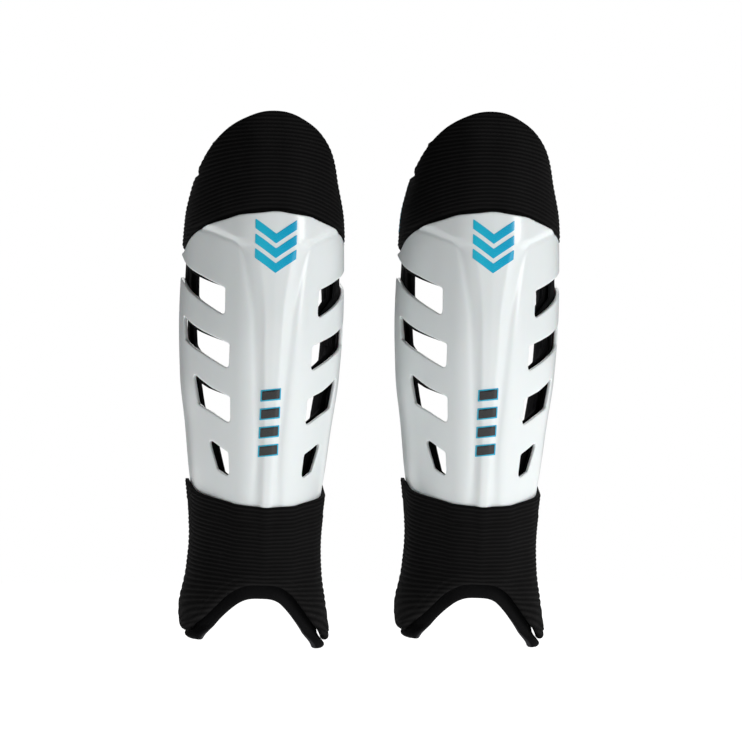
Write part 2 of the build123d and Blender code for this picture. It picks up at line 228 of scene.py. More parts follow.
def rounded(points, radius, step=0.9):
    """Closed outline with its corners rounded and points about a step apart. A radius may vary by corner."""
    points = [np.array(point, float) for point in points]
    count = len(points)
    radii = radius if isinstance(radius, (list, tuple)) else [radius] * count
    corners = []
    for i, corner in enumerate(points):
        before, after = points[i - 1], points[(i + 1) % count]
        to_before, to_after = before - corner, after - corner
        long_before, long_after = np.linalg.norm(to_before), np.linalg.norm(to_after)
        to_before, to_after = to_before / long_before, to_after / long_after
        opening = math.acos(np.clip(np.dot(to_before, to_after), -1, 1))
        reach = min(radii[i] / math.tan(opening / 2), 0.48 * long_before, 0.48 * long_after)
        size = reach * math.tan(opening / 2)
        if reach < 0.02 or opening > math.radians(179.5):
            corners.append([corner])
            continue
        start, end = corner + to_before * reach, corner + to_after * reach
        count_here = max(2, int(math.ceil((math.pi - opening) * size / min(step, 0.6))) + 1)
        run = []
        for k in range(count_here + 1):
            t = k / count_here
            run.append((1 - t) ** 2 * start + 2 * t * (1 - t) * corner + t * t * end)
        corners.append(run)
    dense = []
    for i, run in enumerate(corners):
        dense.extend(run)
        last, first = run[-1], corners[(i + 1) % count][0]
        gap = np.linalg.norm(first - last)
        pieces = int(gap / step)
        for k in range(1, pieces):
            dense.append(last + (first - last) * k / pieces)
    return np.array(dense)


def signed_area(loop):
    x, y = loop[:, 0], loop[:, 1]
    return 0.5 * np.sum(x * np.roll(y, -1) - np.roll(x, -1) * y)


def turned_way(loop, positive):
    return loop if (signed_area(loop) > 0) == positive else loop[::-1]


def inward_offset(loop, amount):
    """Loop moved to its left by an amount for each point."""
    ahead = np.roll(loop, -1, axis=0) - loop
    back = loop - np.roll(loop, 1, axis=0)
    ahead /= np.maximum(np.linalg.norm(ahead, axis=1, keepdims=True), 1e-9)
    back /= np.maximum(np.linalg.norm(back, axis=1, keepdims=True), 1e-9)
    direction = ahead + back
    direction /= np.maximum(np.linalg.norm(direction, axis=1, keepdims=True), 1e-9)
    normal = np.stack([-direction[:, 1], direction[:, 0]], axis=-1)
    return loop + normal * np.reshape(amount, (-1, 1))


def inside(points, loops):
    """Whether each point is inside the closed loops, by the even-odd rule."""
    result = np.zeros(len(points), bool)
    px, py = points[:, 0], points[:, 1]
    for loop in loops:
        ends = np.roll(loop, -1, axis=0)
        for (x1, y1), (x2, y2) in zip(loop, ends):
            if y1 == y2:
                continue
            crosses = (y1 > py) != (y2 > py)
            result ^= crosses & (px < (x2 - x1) * (py - y1) / (y2 - y1) + x1)
    return result


def tree_of(points):
    tree = KDTree(len(points))
    for i, (x, y) in enumerate(points):
        tree.insert((x, y, 0), i)
    tree.balance()
    return tree


def straight_rows(around, height):
    return 0.0 * height


RIM_STEPS = 4


def plate(outline, holes, front, back, rim, spacing, row_bend=straight_rows):
    """Closed sheet on the guard's surface between two depths, with rounded edges.

    front and back give depths from (around, height, distance to the nearest edge), and rim gives the
    edge radius from (around, height). Rows of points keep height + row_bend(around, height) the same.
    Returns points, faces and the (around, row, 0 outside or 1 inside) of each point."""
    loops = [turned_way(outline, True)] + [turned_way(hole, False) for hole in holes]
    rings, ring_rank, ring_radius, edges = [], [], [], []
    total = 0
    for loop in loops:
        radius = rim(loop[:, 0], loop[:, 1]) + np.zeros(len(loop))
        for rank in range(RIM_STEPS + 1):
            angle = math.pi / 2 * rank / RIM_STEPS
            rings.append(inward_offset(loop, radius * (1 - math.cos(angle)) + 1e-4 * rank))
            ring_rank.append(np.full(len(loop), rank))
            ring_radius.append(radius)
            if rank == 0:
                edges += [(total + i, total + (i + 1) % len(loop)) for i in range(len(loop))]
            total += len(loop)
    ring_points = np.concatenate(rings)
    step_x, step_z = spacing
    low, high = ring_points.min(axis=0), ring_points.max(axis=0)
    columns = np.arange(low[0], high[0], step_x)
    rows = np.arange(math.floor((low[1] - 25) / step_z), math.ceil((high[1] + 25) / step_z)) * step_z
    columns, rows = [axis.ravel() for axis in np.meshgrid(columns, rows)]
    heights = rows.copy()
    for _ in range(8):
        heights = rows - row_bend(columns, heights)
    grid = np.stack([columns, heights], axis=-1)
    grid = grid[(heights > low[1]) & (heights < high[1])]
    grid = grid[inside(grid, loops)]
    tree = tree_of(ring_points)
    clear = 0.5 * min(step_x, 1.5 * step_z)
    nearest = [tree.find((x, y, 0)) for x, y in grid]
    edge_tree = tree_of(np.concatenate(loops))
    to_edge = np.array([edge_tree.find((x, y, 0))[2] for x, y in grid])
    kept = (np.array([found[2] for found in nearest]) > clear) & (to_edge > rim(grid[:, 0], grid[:, 1]))
    grid = grid[kept]
    points = np.concatenate([ring_points, grid])
    rank = np.concatenate(ring_rank + [np.full(len(grid), RIM_STEPS)])
    radius = np.concatenate(ring_radius + [np.zeros(len(grid))])
    made = delaunay_2d_cdt([Vector(point) for point in points], edges, [], 0, 1e-5)
    flat = np.array([(v.x, v.y) for v in made[0]])
    source = np.array([origin[0] if origin else -1 for origin in made[3]])
    triangles = np.array(made[2])
    middles = flat[triangles].mean(axis=1)
    triangles = triangles[inside(middles, loops)]
    corners = flat[triangles]
    area = np.cross(corners[:, 1] - corners[:, 0], corners[:, 2] - corners[:, 0])
    triangles = triangles[np.abs(area) > 1e-7]
    used = np.unique(triangles)
    renumber = np.full(len(flat), -1)
    renumber[used] = np.arange(len(used))
    flat, source, triangles = flat[used], source[used], renumber[triangles]
    rank, radius = rank[source], radius[source]
    edge = np.array([edge_tree.find((point[0], point[1], 0))[2] for point in flat])
    lift = radius * (1 - np.sin(math.pi / 2 * rank / RIM_STEPS))
    around, height = flat[:, 0], flat[:, 1]
    laid = np.stack([around, height + row_bend(around, height)], axis=-1)
    outer = place(around, height, front(around, height, edge) + lift)
    inner = place(around, height, back(around, height, edge) - lift)
    count = len(flat)
    directed = {}
    for a, b, c in triangles:
        for pair in ((a, b), (b, c), (c, a)):
            directed[pair] = True
    walls = [(b, a, a + count, b + count) for a, b in directed if (b, a) not in directed]
    faces = [tuple(t) for t in triangles.tolist()]
    faces += [(a + count, c + count, b + count) for a, b, c in triangles.tolist()]
    faces += [tuple(int(i) for i in wall) for wall in walls]
    face = np.zeros((count, 1))
    return np.concatenate([outer, inner]), faces, np.block([[laid, face], [laid, face + 1]])


# ---- turning shapes into pieces ----
def guard_matrix(centre):
    stand = Matrix.Translation((centre, 0, LEAN_HEIGHT + BASE_HEIGHT))
    lean = Matrix.Rotation(LEAN, 4, "Y")
    return Matrix.Scale(0.001, 4) @ stand @ lean @ Matrix.Translation((0, 0, -LEAN_HEIGHT))


def add_piece(name, points, faces, flat, material, body, node, slot):
    """A mesh piece from guard points in millimetres. flat gives each point's place in the fabric or panel."""
    side = name.rsplit("_", 1)[1]
    points = np.array(points, float)
    flat = np.array(flat, float)
    matrix = np.array(guard_matrix(GUARDS[side][0]))
    points = points @ matrix[:3, :3].T + matrix[:3, 3]
    mesh = bpy.data.meshes.new(name)
    mesh.from_pydata(points.tolist(), [], faces)
    mesh.update()
    layer = mesh.attributes.new("flat", "FLOAT_VECTOR", "POINT")
    laid = np.zeros((len(points), 3))
    laid[:, :flat.shape[1]] = flat
    layer.data.foreach_set("vector", laid.ravel())
    mesh.polygons.foreach_set("use_smooth", np.ones(len(mesh.polygons), bool))
    piece = bpy.data.objects.new(name, mesh)
    bpy.context.collection.objects.link(piece)
    piece.data.materials.append(material)
    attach(piece, body)
    if node:
        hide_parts(*([node] if isinstance(node, str) else node))
    return piece


def join_shapes(shapes):
    """One run of points, faces and flat places from several."""
    points, faces, flats, total = [], [], [], 0
    for shape_points, shape_faces, shape_flat in shapes:
        points.append(shape_points)
        flats.append(shape_flat)
        faces += [tuple(i + total for i in face) for face in shape_faces]
        total += len(shape_points)
    return np.concatenate(points), faces, np.concatenate(flats)


# ---- materials ----
class Nodes:
    """Short way to build one material's node tree."""

    def __init__(self, name):
        self.material = bpy.data.materials.new(name)
        self.material.use_nodes = True
        self.tree = self.material.node_tree
        self.shader = self.tree.nodes["Principled BSDF"]

    def add(self, kind, inputs=None, **settings):
        node = self.tree.nodes.new(kind)
        for key, value in settings.items():
            setattr(node, key, value)
        for key, value in (inputs or {}).items():
            if isinstance(value, bpy.types.NodeSocket):
                self.tree.links.new(value, node.inputs[key])
            else:
                node.inputs[key].default_value = value
        return node

    def math(self, operation, a, b=0.0, clamp=False):
        return self.add("ShaderNodeMath", {0: a, 1: b}, operation=operation, use_clamp=clamp).outputs[0]

    def mix(self, share, a, b):
        node = self.add("ShaderNodeMix", data_type="RGBA")
        for key, value in ((0, share), (6, a), (7, b)):
            if isinstance(value, bpy.types.NodeSocket):
                self.tree.links.new(value, node.inputs[key])
            else:
                node.inputs[key].default_value = value
        return node.outputs[2]

    def ramp(self, value, stops):
        node = self.add("ShaderNodeValToRGB", {0: value})
        ramp = node.color_ramp
        while len(ramp.elements) < len(stops):
            ramp.elements.new(0.5)
        for element, (position, level) in zip(ramp.elements, stops):
            element.position = position
            element.color = (level, level, level, 1)
        return node.outputs[0]

    def flat(self):
        """Place in the fabric or panel, in millimetres: along and up. The third number is 1 on the inside."""
        return self.add("ShaderNodeAttribute", attribute_name="flat").outputs["Vector"]

    def split(self, vector):
        return self.add("ShaderNodeSeparateXYZ", {0: vector}).outputs

    def noise(self, vector, scale, detail=3.0, roughness=0.5):
        inputs = {"Vector": vector, "Scale": scale, "Detail": detail, "Roughness": roughness}
        return self.add("ShaderNodeTexNoise", inputs).outputs["Fac"]

    def bump(self, height, strength, distance, after=None):
        inputs = {"Strength": strength, "Distance": distance, "Height": height}
        if after is not None:
            inputs["Normal"] = after
        return self.add("ShaderNodeBump", inputs).outputs[0]

    def set(self, **inputs):
        names = {"color": "Base Color", "rough": "Roughness", "normal": "Normal", "sheen": "Sheen Weight",
                 "coat": "Coat Weight", "coat_rough": "Coat Roughness", "specular": "Specular IOR Level",
                 "scatter": "Subsurface Weight", "scatter_scale": "Subsurface Scale"}
        for key, value in inputs.items():
            socket = self.shader.inputs[names[key]]
            if isinstance(value, bpy.types.NodeSocket):
                self.tree.links.new(value, socket)
            else:
                socket.default_value = value
        return self.material


def shell_plastic():
    """Cool white injection-moulded plastic: satin, with a faint grain, flow marks and scuffed ridges."""
    n = Nodes("shell plastic")
    place_mm = n.flat()
    cloud = n.noise(place_mm, 0.02, 4.0, 0.6)
    color = n.mix(cloud, (0.80, 0.845, 0.85, 1), (0.86, 0.895, 0.895, 1))
    grain = n.noise(place_mm, 2.6, 2.0, 0.5)
    ripple = n.noise(place_mm, 0.10, 2.0, 0.4)
    stretched = n.add("ShaderNodeVectorMath", {0: place_mm, 1: (0.9, 0.05, 1.0)}, operation="MULTIPLY")
    scuff_lines = n.noise(stretched.outputs[0], 1.1, 5.0, 0.7)
    scuffs = n.ramp(scuff_lines, [(0.62, 0.0), (0.72, 1.0)])
    patches = n.ramp(n.noise(place_mm, 0.035, 3.0, 0.6), [(0.52, 0.0), (0.66, 1.0)])
    wear = n.math("MULTIPLY", scuffs, patches)
    rough = n.math("ADD", n.math("MULTIPLY", cloud, 0.08), n.math("MULTIPLY", wear, 0.14))
    rough = n.math("ADD", rough, 0.25)
    normal = n.bump(grain, 0.10, 0.00004)
    normal = n.bump(ripple, 0.25, 0.0002, normal)
    return n.set(color=color, rough=rough, normal=normal, coat=0.25, coat_rough=0.22, specular=0.5,
                 scatter=0.06, scatter_scale=0.004)


RIB_PITCH = 2.36
LINING_DARK = (0.012, 0.012, 0.014, 1)
LINING_LIGHT = (0.055, 0.055, 0.06, 1)


def knit(name, dark, light, ribs):
    """Black knit in rows of loops: ribbed, with a paler stripe to each rib that is partly greyer thread and
    partly a painted highlight, or with a charcoal inner face.
    """
    n = Nodes(name)
    place_mm = n.flat()
    along, up, inner_face = n.split(place_mm)
    column = n.math("SINE", n.math("MULTIPLY", along, 2 * math.pi / 0.85))
    row = n.math("SINE", n.math("MULTIPLY", up, 2 * math.pi / (RIB_PITCH / 3 if ribs else 0.8)))
    loops = n.math("MULTIPLY", column, row)
    fluff = n.noise(place_mm, 3.5, 4.0, 0.7)
    patch = n.noise(place_mm, 0.05, 3.0, 0.6)
    share = n.math("ADD", n.math("MULTIPLY", loops, 0.18), n.math("MULTIPLY", fluff, 0.7))
    if ribs:
        # Paler stripe once to each rib: partly greyer thread, partly a painted highlight.
        thread_and_painted_highlight = n.math("COSINE", n.math("MULTIPLY", up, 2 * math.pi / RIB_PITCH))
        share = n.math("ADD", share, n.math("MULTIPLY", thread_and_painted_highlight, 0.42))
    share = n.math("ADD", n.math("MULTIPLY", share, 0.75), n.math("MULTIPLY", patch, 0.3), clamp=True)
    color = n.mix(share, dark, light)
    if not ribs:
        color = n.mix(inner_face, color, n.mix(share, LINING_DARK, LINING_LIGHT))
    height = n.math("ADD", n.math("MULTIPLY", loops, 0.5), n.math("MULTIPLY", fluff, 1.2))
    normal = n.bump(height, 0.55, 0.00016)
    return n.set(color=color, rough=0.88, normal=normal, specular=0.08)


def woven_tape(name, dark, light, pitch):
    """Flat woven elastic or webbing, with ribs across its length."""
    n = Nodes(name)
    place_mm = n.flat()
    along, up, _ = n.split(place_mm)
    rib = n.math("SINE", n.math("MULTIPLY", along, 2 * math.pi / pitch))
    warp = n.math("SINE", n.math("MULTIPLY", up, 2 * math.pi / 1.1))
    fluff = n.noise(place_mm, 3.0, 3.0, 0.6)
    weave = n.math("MULTIPLY", rib, warp)
    share = n.math("ADD", n.math("MULTIPLY", weave, 0.3), fluff, clamp=True)
    height = n.math("ADD", n.math("MULTIPLY", weave, 0.7), n.math("MULTIPLY", rib, 0.5))
    normal = n.bump(height, 0.8, 0.0003)
    return n.set(color=n.mix(share, dark, light), rough=0.78, normal=normal, sheen=0.15, specular=0.25)


def hook_and_loop(name, loops):
    """Dense hooks or a loop pile."""
    n = Nodes(name)
    place_mm = n.flat()
    cells = n.add("ShaderNodeTexVoronoi", {"Vector": place_mm, "Scale": 0.9 if loops else 1.3})
    fluff = n.noise(place_mm, 2.2, 4.0, 0.75)
    height = n.math("ADD", n.math("MULTIPLY", cells.outputs["Distance"], -1.0), fluff)
    color = n.mix(fluff, (0.010, 0.010, 0.011, 1), (0.05, 0.05, 0.055, 1))
    return n.set(color=color, rough=0.9 if loops else 0.55, normal=n.bump(height, 0.9, 0.0005),
                 sheen=0.4 if loops else 0.05, specular=0.3)


def printed_film(name, deep, pale):
    """Thin printed film with a fine halftone grain and a slight fade across it."""
    n = Nodes(name)
    place_mm = n.flat()
    along = n.split(place_mm)[0]
    fade = n.ramp(n.math("ADD", n.math("MULTIPLY", along, 0.04), 0.5), [(0.1, 0.0), (0.9, 1.0)])
    grain = n.noise(place_mm, 4.0, 2.0, 0.5)
    share = n.math("ADD", n.math("MULTIPLY", fade, 0.8), n.math("MULTIPLY", grain, 0.2), clamp=True)
    rough = n.math("ADD", n.math("MULTIPLY", grain, 0.1), 0.22)
    return n.set(color=n.mix(share, pale, deep), rough=rough, normal=n.bump(grain, 0.05, 0.00003), coat=0.3,
                 coat_rough=0.15)


def moulded_rubber(name, dark, light):
    """Soft rubber with fine ribs across it."""
    n = Nodes(name)
    place_mm = n.flat()
    up = n.split(place_mm)[1]
    ribs = n.math("SINE", n.math("MULTIPLY", up, 2 * math.pi / 2.0))
    grain = n.noise(place_mm, 3.0, 3.0, 0.6)
    height = n.math("ADD", ribs, n.math("MULTIPLY", grain, 0.3))
    normal = n.bump(height, 0.7, 0.0003)
    return n.set(color=n.mix(grain, dark, light), rough=0.55, normal=normal, specular=0.4)


SHELL_PLASTIC = shell_plastic()
RIBBED_KNIT = knit("ribbed knit", (0.0008, 0.0008, 0.0009, 1), (0.0125, 0.012, 0.012, 1), ribs=True)
LINER_KNIT = knit("liner knit", (0.0015, 0.0015, 0.0018, 1), (0.008, 0.008, 0.0085, 1), ribs=False)
ELASTIC = woven_tape("woven elastic", (0.004, 0.004, 0.0045, 1), (0.028, 0.028, 0.03, 1), 1.5)
WEBBING = woven_tape("webbing", (0.004, 0.004, 0.0045, 1), (0.03, 0.03, 0.032, 1), 0.9)
LOOP_TAPE = hook_and_loop("loop tape", True)
HOOK_TAPE = hook_and_loop("hook tape", False)
THREAD = woven_tape("thread", (0.02, 0.02, 0.022, 1), (0.07, 0.07, 0.075, 1), 0.35)
CYAN_FILM = printed_film("cyan film", (0.0, 0.36, 0.62, 1), (0.02, 0.52, 0.72, 1))
BLACK_FILM = printed_film("black film", (0.004, 0.004, 0.005, 1), (0.008, 0.009, 0.011, 1))
GRIP_RUBBER = moulded_rubber("grip rubber", (0.0, 0.30, 0.48, 1), (0.0, 0.40, 0.58, 1))


# ---- outlines, from the lowest to the highest point on the ridge ----
SHELL_REAR = 4.0
TUCK_REAR = 5.0
SOFT_REAR = 6.0
LINER_REAR = 11.0
SHELL_LOW = 69.0           # hidden edge inside the cuff
CUFF_TOP = 85.0            # lowest point of the edge where the cuff starts
EDGE_SLOPE = 0.29
EDGE_ROUND = 5.0
TUCK_BOTTOM = 236.0
CUFF_BOTTOM = 4.5
LINER_BOTTOM = -0.8
LOBE_TIP = 5.0             # from the arch's end to the lowest point, round the guard
LOBE_RISE = 20.0           # from there up to the rear edge

# Shell's top edge, right half: distance from the ridge, height.
SHELL_TOP = [(0, 266), (5, 265.6), (10.5, 264.2), (17, 262.3), (23, 260.3), (30, 258), (37, 255.2),
             (46, 250.2), (50.5, 247.4), (55, 244.2), (60, 241.8), (66, 240.5), (71, 239.7)]
WING_TIP = 241.5           # where the top edge meets the rear edge
# The top vent runs out at the rear edge.
NOTCH = [(57, 221.5), (41, 213), (22.3, 201.5), (22.6, 218.6), (37, 225.5), (57, 234)]
NOTCH_LOW, NOTCH_HIGH = 225.5, 238.2
VENTS = [
    [(18.5, 184.5), (36, 192), (55, 202), (50.5, 186.5), (36, 179), (18.5, 169)],
    [(16.8, 152), (28, 157), (41.5, 166.5), (36.5, 147.5), (27.5, 142.5), (16, 135.5)],
    [(16.5, 118), (29, 127), (22.5, 108), (15, 102.8)],
]
TOP_WINDOW = [(22.6, 218.6), (37, 225.5), (50, 231), (47, 216), (41, 213), (22.3, 201.5)]
# How much wider than the vents the windows are on the left and on the right, from the top down.
WINDOW_EXTRA = [(12.0, -9.5), (11.5, 0.0), (9.0, 4.0), (0.5, 0.5)]
WINDOW_EDGE = 3.0          # least fabric left between a window and the rear edge
WINDOW_DROP = 1.3
# Arches over the instep: half width seen from the front, height.
CUFF_ARCH = [(0, 37.5), (8, 37.2), (15, 35.3), (22, 31.0), (28, 24.3), (34.5, 15.8), (40.3, 9.2)]
LINER_ARCH = [(0, 29.0), (8, 28.4), (14.5, 25.6), (19.5, 20.8), (25, 13.5), (29.5, 6.5)]


def arc_drop(x, radius):
    """How far an arc falls below its top, at a distance to the side."""
    x = np.minimum(np.abs(x), 0.99 * radius)
    return radius - np.sqrt(radius * radius - x * x)


def edge_rise(distance):
    """How much higher than on the ridge the cuff's top edge is, a distance round from the ridge."""
    return EDGE_SLOPE * (np.sqrt(distance * distance + EDGE_ROUND ** 2) - EDGE_ROUND)


def bowed_edge(thread_and_painted_highlight, rear, count=36):
    """Right half of an edge that hangs lowest on the ridge and rises to the rear."""
    points = []
    for share in np.linspace(0, 1, count):
        height = thread_and_painted_highlight
        for _ in range(12):
            distance = share * rear_reach(height, rear)
            height = thread_and_painted_highlight + edge_rise(distance)
        points.append((float(distance), float(height)))
    return points


def at_width(x, height, depth=0.0):
    """Distance from the ridge to the place where a layer is x from the middle, seen from the front."""
    marks = np.linspace(0, panel_length(height), 200)
    return float(np.interp(x, core_place(marks, height, depth)[:, 0], marks))


def rear_edge(low, high, rear, step=6.0):
    """Stretch of a layer's rear edge from one height to another."""
    heights = np.linspace(low, high, max(2, int(abs(high - low) / step) + 1))
    return [(float(rear_reach(height, rear)), float(height)) for height in heights]


def lobe(start, bottom, rear):
    """Round tip of an ankle lobe, from the arch's end down to its lowest point and up to the rear edge."""
    s, z = start
    tip = s + LOBE_TIP
    low = [(s + LOBE_TIP * math.sin(turn), bottom + (z - bottom) * (1 - math.sin(turn)))
           for turn in np.radians(np.linspace(0, 90, 7)[1:])]
    reach = float(rear_reach(bottom + LOBE_RISE, rear)) - tip
    back = [(tip + reach * math.sin(turn), bottom + LOBE_RISE * (1 - math.cos(turn)))
            for turn in np.radians(np.linspace(0, 90, 12)[1:])]
    return low + back


def arch(table, depth):
    """Arch over the instep, from the ridge to where a lobe's tip starts."""
    curve = Curve(table, fair=True)
    widths = np.linspace(0, table[-1][0], 30)
    return [(at_width(float(x), float(curve(x)), depth), float(curve(x))) for x in widths]


def round_top(radius, depth):
    """Round top seen from the front, from beside the rear corner to the ridge."""
    points = []
    for turn in np.radians(np.linspace(4, 90, 34)):
        height = PAD_TOP_CENTRE + radius * math.sin(turn)
        points.append((at_width(radius * math.cos(turn), height, depth), height))
    return points


def closed(right_half, step=0.9):
    """Closed outline in (around, height), from (distance, height) or (distance, height, corner radius)."""
    right = [(*point[:2], point[2] if len(point) > 2 else 0.0) for point in right_half]
    whole = right + [(-s, z, corner) for s, z, corner in reversed(right) if s > 1e-6]
    places = to_around([(s, z) for s, z, _ in whole])
    return rounded(list(places), [corner for _, _, corner in whole], step)


HOLE_CORNER = 2.4
HOLE_STEP = 0.8


def vent_holes():
    """The shell's vents on both sides."""
    holes = []
    for outline in VENTS:
        for side in (-1, 1):
            corners = to_around([(side * s, z) for s, z in outline])
            holes.append(rounded(list(corners), HOLE_CORNER, HOLE_STEP))
    return holes


def window_holes():
    """Holes behind the notch and the vents, their lower edges cut lower and their outer ends moved."""
    outlines = [TOP_WINDOW] + VENTS
    holes = []
    for outline, (left, right) in zip(outlines, WINDOW_EXTRA):
        inner, outer = min(s for s, _ in outline), max(s for s, _ in outline)
        for side, extra in ((-1, left), (1, right)):
            moved = []
            for k, (s, z) in enumerate(outline):
                z = z - WINDOW_DROP if k >= len(outline) // 2 else z
                reach = min(s + extra * (s - inner) / (outer - inner), rear_reach(z, TUCK_REAR) - WINDOW_EDGE)
                moved.append((side * reach, z))
            holes.append(rounded(list(to_around(moved)), HOLE_CORNER, HOLE_STEP))
    return holes


def shell_outline():
    bottom = bowed_edge(SHELL_LOW, SHELL_REAR)
    side = rear_edge(bottom[-1][1] + 6, NOTCH_LOW - 6, SHELL_REAR)
    finger = [(float(rear_reach(NOTCH_LOW, SHELL_REAR)), NOTCH_LOW, 4.0)]
    notch = [(s, z, 2.4) for s, z in NOTCH]
    tip = [(float(rear_reach(NOTCH_HIGH, SHELL_REAR)), NOTCH_HIGH, 0.8)]
    top_curve = Curve(SHELL_TOP, fair=True)
    end = float(rear_reach(WING_TIP, SHELL_REAR))
    top = [(float(s), float(top_curve(s))) for s in np.linspace(end, 0, 46)]
    return closed(bottom + side + finger + notch + tip + top)


def pad_outline():
    low = [(float(s), TUCK_BOTTOM) for s in np.linspace(0, rear_reach(TUCK_BOTTOM, SOFT_REAR), 24)]
    side = rear_edge(TUCK_BOTTOM + 5, 268, SOFT_REAR)
    corner = [(float(rear_reach(PAD_TOP_CENTRE + 1.5, SOFT_REAR)), PAD_TOP_CENTRE + 1.5, 13.0)]
    return closed(low + side + corner + round_top(PAD_TOP_RADIUS, 0.4))


def cuff_outline():
    bottom = arch(CUFF_ARCH, -1.0)
    bottom += lobe(bottom[-1], CUFF_BOTTOM, SOFT_REAR)
    top = bowed_edge(CUFF_TOP, SOFT_REAR)
    side = rear_edge(bottom[-1][1] + 4, top[-1][1] - 4, SOFT_REAR)
    return closed(bottom + side + list(reversed(top)))


def backing_outline():
    bottom = bowed_edge(SHELL_LOW, TUCK_REAR)
    side = rear_edge(bottom[-1][1] + 6, TUCK_BOTTOM - 6, TUCK_REAR)
    reach = float(rear_reach(TUCK_BOTTOM, TUCK_REAR))
    top = [(float(s), TUCK_BOTTOM - 0.8) for s in np.linspace(reach, 0, 30)]
    return closed(bottom + side + top)


def flap(level):
    """Where the liner reaches back to a strap hinge, from its lower to its upper corner."""
    low, high = level - STRAP_WIDTH / 2 - 2, level + STRAP_WIDTH / 2 + 2
    ends = [(float(flap_end(height)) - STRAP_ROOT, height) for height in np.linspace(low, high, 7)]
    root_low = (float(rear_reach(low - 4, LINER_REAR)), low - 4, 3.0)
    root_high = (float(rear_reach(high + 4, LINER_REAR)), high + 4, 3.0)
    return [root_low, (*ends[0], 4.0), *ends[1:-1], (*ends[-1], 4.0), root_high]


def liner_outline():
    bottom = arch(LINER_ARCH, 6.0)
    bottom += lobe(bottom[-1], LINER_BOTTOM, LINER_REAR)
    lower, upper = flap(STRAP_LEVELS["lower"]), flap(STRAP_LEVELS["upper"])
    low_side = rear_edge(bottom[-1][1] + 4, lower[0][1] - 4, LINER_REAR)
    middle = rear_edge(lower[-1][1] + 5, upper[0][1] - 5, LINER_REAR)
    return closed(bottom + low_side + lower + middle + upper[:-1] + round_top(PAD_TOP_RADIUS - 2, 7.0))


# ---- depths ----
KEEL_BORDER = Curve([(60, 5.2), (88, 5.2), (117, 5.3), (153, 6.9), (185, 8.2), (202, 8.8), (222, 10.2),
                     (236, 11.3), (243.5, 12.5), (247, 16), (249.3, 21.5), (252.5, 29.4), (255, 39),
                     (256.5, 48), (262, 74)])
KEEL_CHAMFER = 3.0
GROOVE = (0.5, 0.8)         # along the foot of the keel: depth, half width
CREASE_HEIGHT = 0.6
CREASE_HALF_WIDTH = 12.0


def keel_lift(around, height, soften=0.0):
    """How far the raised band down the shin stands proud of the panels. Soft fabric blurs its edge."""
    distance = np.abs(core_of(around, height))
    border = KEEL_BORDER(height)
    slope = (KEEL_BORDER(height + 0.5) - KEEL_BORDER(height - 0.5))
    inwards = (border - distance) / np.sqrt(1 + slope * slope)
    share = np.clip((inwards + soften) / (KEEL_CHAMFER + 2 * soften), 0, 1)
    edge = smooth(share) * 0.4 + share * 0.6
    crease = np.clip(1 - distance / CREASE_HALF_WIDTH, 0, 1)
    groove = GROOVE[0] * np.exp(-((inwards + GROOVE[1]) / GROOVE[1]) ** 2) if soften == 0 else 0.0
    return KEEL_HEIGHT * edge + CREASE_HEIGHT * crease * share - groove


def shell_front(around, height, edge):
    return -keel_lift(around, height)


def shell_top_at(around, height):
    return Curve(SHELL_TOP, fair=True)(np.abs(core_of(around, height)))


def cuff_rise(around, height):
    return edge_rise(np.abs(core_of(around, height)))


RIB_HEIGHT = 0.5
RIB_ROWS = 6               # rows of points to a rib


def rib(row):
    """Rounded cords with a sharp groove between them."""
    return RIB_HEIGHT * np.abs(np.sin(math.pi * row / RIB_PITCH)) ** 0.7


def pad_row_bend(around, height):
    """The pad's ribs run along the shell's edge, and flatten towards the top."""
    x = place(around, height, 0.0)[..., 0]
    return arc_drop(x, 85.0) * (1 - 0.55 * smooth((height - 262) / 62))


def cuff_row_bend(around, height):
    """The cuff's ribs sag along its top edge and level out below."""
    rise = cuff_rise(around, height)
    level_out = np.interp(height, [0, 12, 26, 45, 70, 90], [-1.3, -1.1, -0.25, 0.45, 0.85, 1.0])
    return -rise * level_out


PAD_SHOULDER = 5.5         # height over which the pad swells out above the shell's edge
PAD_FACE = -0.2
PAD_ROLL = 0.9             # how far the pad falls away at its edges
PAD_FACET = 1.0            # how far its top corner is pressed back
TUCKED = BACKING_DEPTH[0]  # depth of what lies behind the shell


def pad_front(around, height, edge):
    above = height - shell_top_at(around, height)
    shoulder = TUCKED * (1 - smooth((above + 0.2) / PAD_SHOULDER))
    face = PAD_FACE + PAD_ROLL * np.exp(-np.maximum(edge, 0) / 3.0)
    lift = rib(height + pad_row_bend(around, height)) * smooth((above - 0.4) / 1.6) * smooth(edge / 1.4)
    facet = PAD_FACET * smooth((height - 296 - 0.62 * np.abs(around)) / 18)
    return np.where(above < -0.2, TUCKED, shoulder + face * smooth(above / PAD_SHOULDER) + facet - lift)


def tip_flare(height):
    """Share by which the liner's lobes, free below the cuff, swell out to its face."""
    return smooth((9.0 - height) / 8.0)


HEM_WIDTH = 4.5
HEM_PRESS = 0.35           # how far the hem is pressed back below the cuff's face
CUFF_FACE = -1.15
CUFF_SWELL = 1.3           # extra thickness at the sides
CUFF_KEEL = 0.8            # share of the keel's height that shows through the cuff


def cuff_front(around, height, edge):
    lift = rib(height + cuff_row_bend(around, height))
    top = CUFF_TOP + cuff_rise(around, height) - height
    past_hem = smooth((edge - HEM_WIDTH) / 1.5)
    hem = np.where(top > 12, past_hem, smooth((top - 0.5) / 0.8))
    roll = HEM_PRESS * past_hem * np.where(top > 12, 1, 0)
    side = CUFF_SWELL * smooth((np.abs(around) - 26) / 14) * smooth((height - 10) / 25)
    keel = keel_lift(around, height, 1.0) * CUFF_KEEL * smooth((height - 20) / 60)
    return CUFF_FACE - side - roll - keel - lift * hem


def cuff_back(around, height, edge):
    """Over the shell's lower end it follows the keel, and below the shell it steps back."""
    below = smooth((SHELL_LOW - 0.4 + cuff_rise(around, height) - height) / 1.8)
    return -0.3 + 4.4 * below - keel_lift(around, height, 1.0) * CUFF_KEEL * (1 - below)


